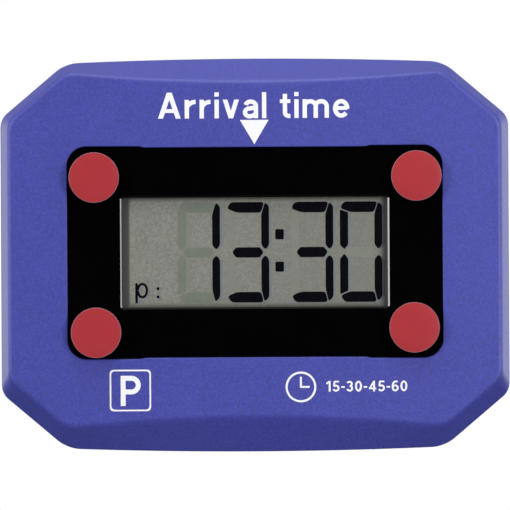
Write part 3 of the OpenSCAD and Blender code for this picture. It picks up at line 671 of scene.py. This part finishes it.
def pad(corner_name, seed):
    """The foam disc and the liner at one corner of the window."""
    hub, radius, front, back = round_mm("foam_pad_" + corner_name)
    top = box_mm("pad_liner_" + corner_name)[0][1]
    wave = np.random.default_rng(seed).normal(0, 0.02, (3, 2))
    angle = np.linspace(0, 2 * np.pi, 96, endpoint=False)
    turns = np.arange(2, 5)[:, None] * angle
    uneven = (wave[:, :1] * np.cos(turns) + wave[:, 1:] * np.sin(turns)).sum(0)
    t = np.linspace(0, 1, 13)
    side_r = radius - SWELL + SWELL * np.sin(np.pi * t) ** 0.5
    side_y = front + (back - front) * t
    r = np.concatenate([[0.001], np.linspace(0.3, 0.95, 6) * radius, side_r,
                        np.linspace(0.95, 0.3, 6) * radius, [0.001]])
    y = np.concatenate([[front] * 7, side_y, [back] * 7])
    reach = r[:, None] * (1 + uneven / radius)
    points = np.stack([hub[0] + reach * np.cos(angle), np.broadcast_to(y[:, None], reach.shape),
                       hub[1] + reach * np.sin(angle)], -1)
    foam = piece_from("foam_" + corner_name, points.reshape(-1, 3),
                      grid_faces(len(r), 96, wrap_cols=True))
    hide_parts("foam_pad_" + corner_name)

    cut = radius + OVERHANG
    profile = [(0.001, top), (0.6 * cut, top), (cut - 0.12, top), (cut - 0.08, top + 0.01),
               (cut, top + 0.06), (cut, front), (0.5 * cut, front), (0.001, front)]
    liner = turned("liner_" + corner_name, profile, hub, "casing", 128, sharp=50)
    away = np.hypot(*(points_of(liner)[:, [0, 2]] / MM - hub).T)
    rim = liner.data.attributes.new("rim", "FLOAT", "POINT")
    rim.data.foreach_set("value", (away > cut - RIM_W).astype(np.float32))
    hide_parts("pad_liner_" + corner_name)
    return foam, liner

pads = [pad(name, seed) for seed, name in
        enumerate(["top_left", "top_right", "low_left", "low_right"])]
print("pads:", [tuple(np.round(centre_mm(n.name.replace("foam_", "foam_pad_")), 1))
                for n, _ in pads])

# %% [markdown]
# ## Back: rear shell, door and buttons
# The rear shell and the battery door keep the shapes of the CAD. A merged copy of each gets
# small rounded edges, since moulded plastic has no knife edge. The buttons are turned
# profiles with a dished top, and each carries a raised sign.

# %% Rear shell and door
rear_shell = copy_of("rear_housing", "casing", bevel=0.12)
door = copy_of("battery_door", "door", bevel=0.15)
print("rear shell faces:", len(rear_shell.data.polygons), "door:", len(door.data.polygons))

# %% Buttons
DISH_R, DISH_DEPTH, STEM_R, STEM_GAP = 20.0, 0.6, 2.0, 0.04
FLANGE_OVER, FLANGE_LOW, FLANGE_HIGH, CHAMFER = 1.0, 3.6, 2.0, 0.1
SIGN_R, SIGN_SINK, SIGN_T = 1.4, 0.25, 0.32

def button(node, body, signs):
    """A turned button with a stem and a flange, and its sign. The dished top is part of a
    sphere: y = top + DISH_R - DISH_DEPTH - sqrt(DISH_R^2 - r^2). The stem ends a hair short,
    so that it clears the switch when the button is pressed."""
    hub, flange_r, stem, top = round_mm(node)
    cap_r, tip = flange_r - FLANGE_OVER, stem + STEM_GAP
    dish = lambda r: top + DISH_R - DISH_DEPTH - np.sqrt(DISH_R ** 2 - r ** 2)
    r_dish = np.linspace(cap_r - 0.5, 0.001, 12)
    profile = [(0.001, tip), (STEM_R - CHAMFER, tip), (STEM_R, tip + CHAMFER),
               (STEM_R, top - FLANGE_LOW), (flange_r - CHAMFER, top - FLANGE_LOW),
               (flange_r, top - FLANGE_LOW + CHAMFER), (flange_r, top - FLANGE_HIGH - CHAMFER),
               (flange_r - CHAMFER, top - FLANGE_HIGH), (cap_r, top - FLANGE_HIGH),
               (cap_r, top - 0.55)]
    shoulder = corner_round((cap_r, top - 0.55), (cap_r, top - 0.08),
                            (r_dish[0], dish(r_dish[0])), 7)[1:-1]
    profile = np.concatenate([profile, shoulder, np.stack([r_dish, dish(r_dish)], -1)])
    cap = turned(node + "_cap", profile, hub, body)
    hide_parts(node)
    base = dish(SIGN_R) - SIGN_SINK
    sign = plates(node + "_sign", [s + hub for s in signs], base, SIGN_T, body)
    return cap, sign

plus = [softened([(-1.5, -0.26), (-0.26, -0.26), (-0.26, -1.5), (0.26, -1.5), (0.26, -0.26),
                  (1.5, -0.26), (1.5, 0.26), (0.26, 0.26), (0.26, 1.5), (-0.26, 1.5),
                  (-0.26, 0.26), (-1.5, 0.26)], 0.1)]
dial = ring_mark((0, 0), 1.6, 0.36) + [block(-0.16, 0.16, -0.12, 1.0, 0.1),
                                       block(-0.16, 0.9, -0.14, 0.16, 0.1)]
buttons = button("set_button", "set_key", dial) + button("plus_button", "plus_key", plus)
print("button parts:", [p.name for p in buttons])

# %% [markdown]
# ## Coin cells
# A coin cell is a polished can crimped over a gasket round a smaller cap. Turned profiles
# give the crimp its curl, and a raised plus sign stands on the can's flat side, which is the
# side that shows when the battery door is down.

# %% Coin cells
def coin_cell(node):
    """A can, a cap inside its crimped edge, and the raised sign on the can's back."""
    hub, radius, front, back = round_mm(node)
    can = [(0.001, back), (radius - 0.7, back), (radius - 0.25, back - 0.1),
           (radius - 0.05, back - 0.35), (radius, back - 0.7), (radius, front + 1.1),
           (radius - 0.1, front + 0.75), (radius - 0.5, front + 0.6),
           (radius - 1.15, front + 0.62), (radius - 1.2, front + 0.9), (0.001, front + 0.9)]
    cap = [(0.001, front + 0.95), (radius - 1.5, front + 0.95), (radius - 1.5, front + 0.25),
           (radius - 1.75, front + 0.03), (radius - 2.1, front), (0.001, front)]
    shell = turned(node + "_can", can, hub, "casing", 128)
    lid = turned(node + "_cap", cap, hub, "casing", 128)
    sign = plates(node + "_sign", [s * 1.2 + hub + [0, 6.5] for s in plus], back - 0.05, 0.08)
    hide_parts(node)
    return shell, lid, sign

cells = coin_cell("coin_cell_left") + coin_cell("coin_cell_right")
print("cell parts:", len(cells))

# %% [markdown]
# ## Moulded blue plastic
# The casing is a matt violet-blue moulding. Its texture comes from the mould: a fine grain a
# few tenths of a millimetre across, seen as relief and as tiny changes of gloss, over much
# wider and weaker variations of colour. Voronoi cells give the grain its rounded bumps and
# noise breaks up their order.

# %% Casing finish
BLUE = (0.029, 0.037, 0.338)

def blue_finish(name, tint=1.0):
    """The casing's plastic; a tint below 1 makes it a little darker."""
    colour = tuple(c * tint for c in BLUE)
    look = Look(name, colour, 0.5, **{"Specular IOR Level": 0.8, "Coat Weight": 0.1,
                                      "Coat Roughness": 0.2})
    grain = look.noise(0.42, 3.0, 0.66)
    pits = look.cells(0.5, "SMOOTH_F1")
    cloud = look.noise(9.0, 2.0)
    speck = grain.ramp(0.34, 0.66)
    lighter = tuple(min(1, c * 1.21 + 0.004) for c in colour)
    darker = tuple(c * 0.76 for c in colour)
    shade = look.mixed(speck * 0.75 + cloud * 0.25, darker, lighter)
    height = grain * 0.7 + pits * 0.5
    return look.feed({"Base Color": shade, "Roughness": 0.44 + grain * 0.14 + cloud * 0.04,
                      "Normal": look.relief(height, 0.04, 0.6)})

blue_finish("casing_blue").put_on(front_shell, rear_shell)
blue_finish("door_blue", 0.98).put_on(door)

# %% [markdown]
# ## Black window panel
# Polished black plastic shows nothing but reflections. A faint unevenness in gloss, as left
# by a cloth, stops it from looking like a hole.

# %% Window finish
window_black = Look("window_black", (0.0012, 0.0012, 0.0014), 0.08, **{"IOR": 1.5})
wiped = window_black.noise(6.0, 4.0, 0.6)
window_black.feed({"Roughness": 0.05 + wiped * 0.06,
                   "Base Color": window_black.mixed(wiped, (0.0008, 0.0008, 0.001),
                                                    (0.0016, 0.0016, 0.0018)),
                   "Normal": window_black.relief(window_black.noise(14, 1.0), 0.004, 0.3)})
window_black.put_on(window_panel)

# %% [markdown]
# ## Display finishes
# The reflector behind the glass has a fine sparkle like frosted foil, warm grey with a touch
# of green, and it is duller towards the right. Near its edges it turns dark grey: painted
# shade, standing for the shade that the window panel's edge throws into the recess. The lit
# figures are nearly black with a violet cast, their painted shadows a bluish grey, and the
# segments that are off only a shade greener than the sheet.

# %% Display finishes
def along_mm(look, axis):
    """One object coordinate, in millimetres."""
    return look.node("ShaderNodeSeparateXYZ", {}, {0: look.place()}, output=axis) / MM

def clear_of_painted_edge_shade(look):
    """1 over the middle of the display, falling to 0 in the painted shade that the panel's edge
    throws along its borders.
    """
    across, upward = along_mm(look, "X"), along_mm(look, "Z")
    left = across.ramp(-VIEW_W + 1.25, -VIEW_W + 1.75)
    right = 1 - across.ramp(VIEW_W - 2.3, VIEW_W - 0.6)
    foot = upward.ramp(rise - VIEW_H - 0.2, rise - VIEW_H + 1.1)
    head = 1 - upward.ramp(rise + VIEW_H - 1.1, rise + VIEW_H + 0.3)
    return left * right * foot * head

sheet_grey = Look("display_grey", (0.2, 0.2, 0.18), 0.4, **{"IOR": 1.45})
sparkle = sheet_grey.noise(0.42, 2.0, 0.75).ramp(0.28, 0.72)
drift = sheet_grey.noise(7.0, 1.0)
unshaded_share = clear_of_painted_edge_shade(sheet_grey)
duller = 1 - 0.6 * along_mm(sheet_grey, "X").ramp(-VIEW_W, 1.5 * VIEW_W)
foil = sheet_grey.mixed((sparkle * 0.75 + drift * 0.25) * duller, (0.145, 0.15, 0.127),
                        (0.252, 0.257, 0.224))
# The dark grey (0.07, 0.07, 0.066) along the edges is painted shade from the panel's edge; the
# foil fills the middle.
sheet_grey.feed({
    "Base Color": sheet_grey.mixed(unshaded_share, (0.07, 0.07, 0.066), foil),
    "Roughness": 0.38 + sparkle * 0.15,
    "Normal": sheet_grey.relief(sparkle, 0.01, 0.4)}).put_on(display_sheet)

def figure_finish(name, dark, light, roughness, shine=0.5, share=None):
    """A colour between dark and light: by the share, or else in faint clouds."""
    look = Look(name, dark, roughness, **{"Specular IOR Level": shine})
    cloud = look.noise(1.6, 3.0)
    return look.feed({"Base Color": look.mixed(share(look) if share else cloud, dark, light),
                      "Roughness": roughness - 0.05 + cloud * 0.1})

figure_finish("figure_dark", (0.0016, 0.0016, 0.003), (0.0035, 0.0035, 0.0055),
              0.35, 0.06).put_on(display_figures)
# The bluish grey of the painted figure shadow, darkening into the painted edge shade.
figure_finish("figure_painted_shadow", (0.03, 0.032, 0.034), (0.148, 0.173, 0.182), 0.42,
              share=clear_of_painted_edge_shade).put_on(display_shade)
figure_finish("figure_off", (0.128, 0.15, 0.115), (0.165, 0.184, 0.146),
              0.42).put_on(display_ghosts)
# Greenish grey for the off-segment hints and for their painted shadow copies.
figure_finish("figure_hint_and_painted_shadow", (0.165, 0.178, 0.148), (0.2, 0.21, 0.175),
              0.42).put_on(display_hints)

# %% [markdown]
# ## Print, liners and foam
# Screen-printed ink is opaque and slightly uneven where the mould grain shows through it.
# The release liner is a red film on paper: its face has a soft satin gloss and long, faint
# fibres, and its cut edge is paler. Foam is a mass of small open bubbles.

# %% Soft and printed finishes
ink = Look("white_print", (0.86, 0.86, 0.9), 0.45)
ink_grain = ink.noise(0.3, 2.0)
ink.feed({"Base Color": ink.mixed(ink_grain, (0.8, 0.8, 0.86), (0.92, 0.92, 0.95)),
          "Normal": ink.relief(ink_grain, 0.02, 0.4)}).put_on(
              title, parking_letter, minutes, face_marks)

liner_red = Look("liner_red", (0.43, 0.03, 0.04), 0.42, **{"Specular IOR Level": 0.25})
rim = liner_red.node("ShaderNodeAttribute", dict(attribute_name="rim"), output="Fac")
fibre = liner_red.noise(0.5, 4.0, 0.65)
blotch = liner_red.noise(3.5, 2.0)
red = liner_red.mixed(fibre * 0.5 + blotch * 0.5, (0.345, 0.0235, 0.031), (0.402, 0.032, 0.041))
liner_red.feed({"Base Color": liner_red.mixed(rim, red, (0.3, 0.13, 0.17)),
                "Roughness": 0.36 + fibre * 0.14,
                "Normal": liner_red.relief(fibre, 0.012, 0.5)})
liner_red.put_on(*[liner for _, liner in pads])

foam_dark = Look("foam_dark", (0.035, 0.035, 0.038), 0.9)
bubbles = foam_dark.cells(0.35)
foam_dark.feed({"Base Color": foam_dark.mixed(bubbles.ramp(0.1, 0.6), (0.015, 0.015, 0.017),
                                              (0.06, 0.06, 0.065)),
                "Normal": foam_dark.relief(bubbles, 0.15, 0.8)})
foam_dark.put_on(*[foam for foam, _ in pads])

# %% [markdown]
# ## Metal and the parts inside
# Nodes that stay as CAD meshes get finishes of their own by assigning a material. Metal is
# brushed: noise drawn out along one direction changes its gloss. The board is green lacquer
# over faint copper tracks, and the small parts are matt ceramics and plastics.

# %% Metals
def metal_finish(name, colour, roughness, stretch=(1, 1, 12), tarnish=0.15):
    """Brushed metal; stretch draws the noise out along one axis."""
    look = Look(name, colour, roughness, Metallic=1.0)
    along = look.node("ShaderNodeMapping", {}, {"Vector": look.place(), "Scale": stretch})
    brushed = look.noise(0.25, 3.0, 0.6, where=along)
    cloud = look.noise(3.0, 3.0)
    dull = tuple(c * (1 - tarnish) for c in colour)
    return look.feed({"Base Color": look.mixed(cloud, dull, colour),
                      "Roughness": roughness - 0.08 + brushed * 0.16,
                      "Normal": look.relief(brushed, 0.01, 0.25)})

nodes = frame["nodes"]
metal_finish("cell_can", (0.72, 0.72, 0.73), 0.28).put_on(*cells)
metal_finish("screw_steel", (0.55, 0.55, 0.57), 0.33, (8, 1, 8)).put_on(
    nodes["housing_screws"], nodes["board_screws"], nodes["quartz_crystal"])
metal_finish("contact_metal", (0.78, 0.7, 0.52), 0.3).put_on(
    *[o for n, o in nodes.items() if n.startswith("cell_") and "contact" in n])

# %% Plastics, ceramics and lacquer inside
def plain_finish(name, dark, light, roughness, grain_mm=0.3):
    """A matt finish between two colours, with grain_mm of texture."""
    look = Look(name, dark, roughness)
    grain, cloud = look.noise(grain_mm, 3.0, 0.6), look.noise(grain_mm * 12, 2.0)
    return look.feed({"Base Color": look.mixed(grain * 0.5 + cloud * 0.5, dark, light),
                      "Roughness": roughness - 0.05 + grain * 0.1,
                      "Normal": look.relief(grain, 0.02, 0.4)})

plain_finish("button_grey", (0.3, 0.31, 0.34), (0.36, 0.37, 0.4), 0.42).put_on(
    *[p for p in buttons if p.name.endswith("cap")])
plain_finish("button_sign", (0.02, 0.022, 0.05), (0.03, 0.033, 0.07), 0.45).put_on(
    *[p for p in buttons if p.name.endswith("sign")])
for name, dark, light, roughness, grain_mm, covered in (
        ("chip_black", (0.012, 0.012, 0.014), (0.03, 0.03, 0.034), 0.5, 0.3,
         ["controller_chip", "motion_sensor", "switch_body_left", "switch_body_right"]),
        ("plunger_ivory", (0.7, 0.66, 0.52), (0.8, 0.76, 0.62), 0.45, 0.3,
         ["switch_plunger_left", "switch_plunger_right"]),
        ("holder_white", (0.72, 0.72, 0.7), (0.82, 0.82, 0.8), 0.5, 0.3, ["lcd_holder"]),
        ("strip_rubber", (0.5, 0.28, 0.28), (0.62, 0.36, 0.36), 0.7, 0.15,
         ["contact_strip_upper", "contact_strip_lower"]),
        ("capacitor_can", (0.04, 0.05, 0.12), (0.07, 0.085, 0.18), 0.35, 0.3,
         ["smoothing_capacitor"]),
        ("ceramic_parts", (0.34, 0.24, 0.13), (0.5, 0.38, 0.22), 0.55, 0.2, ["chip_parts"])):
    plain_finish(name, dark, light, roughness, grain_mm).put_on(*[nodes[n] for n in covered])

TRACKS_PER_METRE = 420.0
lacquer = Look("board_lacquer", (0.02, 0.12, 0.05), 0.3)
stretched = lacquer.node("ShaderNodeMapping", {}, {"Vector": lacquer.place(),
                                                   "Scale": (1, 1, 0.08)})
tracks = lacquer.node("ShaderNodeTexVoronoi", dict(feature="DISTANCE_TO_EDGE"),
                      {"Vector": stretched, "Scale": TRACKS_PER_METRE})
copper = 1 - tracks.ramp(0.05, 0.09)
lacquer.feed({"Base Color": lacquer.mixed(copper, (0.012, 0.09, 0.035), (0.035, 0.17, 0.06)),
              "Roughness": 0.25 + lacquer.noise(0.8) * 0.15,
              "Normal": lacquer.relief(copper, 0.03, 0.6)}).put_on(nodes["circuit_board"])
bare = [n for n, o in nodes.items() if not o.hide_render and not o.data.materials]
print("materials:", len(bpy.data.materials), "nodes left without one:", bare)

# %% [markdown]
# ## Floor, light and camera
# The piece is seen straight on, from far off with a long lens, against white. A large soft
# box stands far off on the left and a small one close by on the right, and a wide one hangs
# above. The world is bright behind the object and dark behind the camera, so the bevels shine
# at grazing angles while the black window stays black. Mirrored rays meet a still brighter
# strip at the sides, which draws a light line along the ridges. The camera sees plain white.

# %% World
world = bpy.data.worlds.new("studio")
scene.world = world
world.use_nodes = True
sky = Look("studio", tree=world.node_tree)
background = world.node_tree.nodes["Background"]
direction = sky.node("ShaderNodeTexCoord", output="Generated")
ahead, height = [sky.node("ShaderNodeSeparateXYZ", {}, {0: direction}, output=axis)
                 for axis in "YZ"]
BEHIND, BESIDE, OVERHEAD, BELOW = 1.95, 3.0, 0.65, 0.64
glow = ahead.ramp(-0.35, 0.25) * (1 - 0.92 * height.ramp(0.0, 0.42)) * BEHIND
flank = ahead.ramp(-0.6, -0.2) * (1 - ahead.ramp(0.1, 0.4)) * (1 - height.ramp(0.1, 0.5))
overhead = height.ramp(0.2, 0.95) * OVERHEAD
ground = height.ramp(-0.25, 0.0)
seen = sky.node("ShaderNodeLightPath", output="Is Camera Ray")
mirrored = sky.node("ShaderNodeLightPath", output="Is Glossy Ray")
around = ((glow + overhead + flank * mirrored * BESIDE) * ground
          + BELOW * (1 - ground) * (1 - 0.9 * mirrored))
sky.wire(background, {"Color": (1, 1, 1, 1), "Strength": seen + (1 - seen) * around})

# %% Floor
FLOOR_Z, FLOOR_R = -0.075, 0.55
floor = turned("floor", [(0.001, 0), (FLOOR_R / MM, 0), (FLOOR_R / MM, -2), (0.001, -2)],
               (0, 0), "casing")
floor.parent = None
del floor["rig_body"]
laid = points_of(floor)[:, [0, 2, 1]] + [0, 0, FLOOR_Z]
floor.data.vertices.foreach_set("co", laid.ravel())
floor.data.flip_normals()
pale = Look("pale_floor", (0.6, 0.6, 0.6), 0.85)
pale.feed({"Base Color": pale.mixed(pale.noise(40), (0.6, 0.6, 0.6), (0.63, 0.63, 0.63))})
pale.put_on(floor)
floor.visible_diffuse = floor.visible_glossy = False

# %% Lights
def soft_box(name, place, width, height, share):
    """A rectangle of light at place, turned to the origin. The share is how much of a full
    white it gives on a surface that faces it at the origin."""
    lamp = bpy.data.lights.new(name, "AREA")
    lamp.shape, lamp.size, lamp.size_y = "RECTANGLE", width, height
    lamp.energy = share * math.pi ** 2 * math.dist(place, (0, 0, 0)) ** 2
    box = bpy.data.objects.new(name, lamp)
    box.location = place
    box.rotation_euler = box.location.to_track_quat("Z", "Y").to_euler()
    box.visible_camera = False
    scene.collection.objects.link(box)

soft_box("left_box", (-1.06, -1.14, 0.34), 0.28, 0.86, 0.40)
soft_box("right_box", (0.36, -0.50, 0.08), 0.16, 0.3, 0.46)
soft_box("top_box", (0.0, -0.45, 1.1), 0.9, 0.5, 0.4)

# %% Camera
FULL_WIDTH, LENS, SENSOR = 0.1054, 500.0, 36.0
TURN = math.radians(0.33)
camera = bpy.data.cameras.new("camera")
camera.lens, camera.sensor_width, camera.clip_end = LENS, SENSOR, 100.0
camera.sensor_fit = "HORIZONTAL"
eye = bpy.data.objects.new("camera", camera)
eye.location = (0.0, band_y * MM - FULL_WIDTH * LENS / SENSOR, 0.0)
eye.rotation_euler = (math.pi / 2, TURN, 0.0)
scene.collection.objects.link(eye)
scene.camera = eye
scene.view_settings.view_transform = "Standard"
print("camera distance:", round(-eye.location.y, 3), "m")
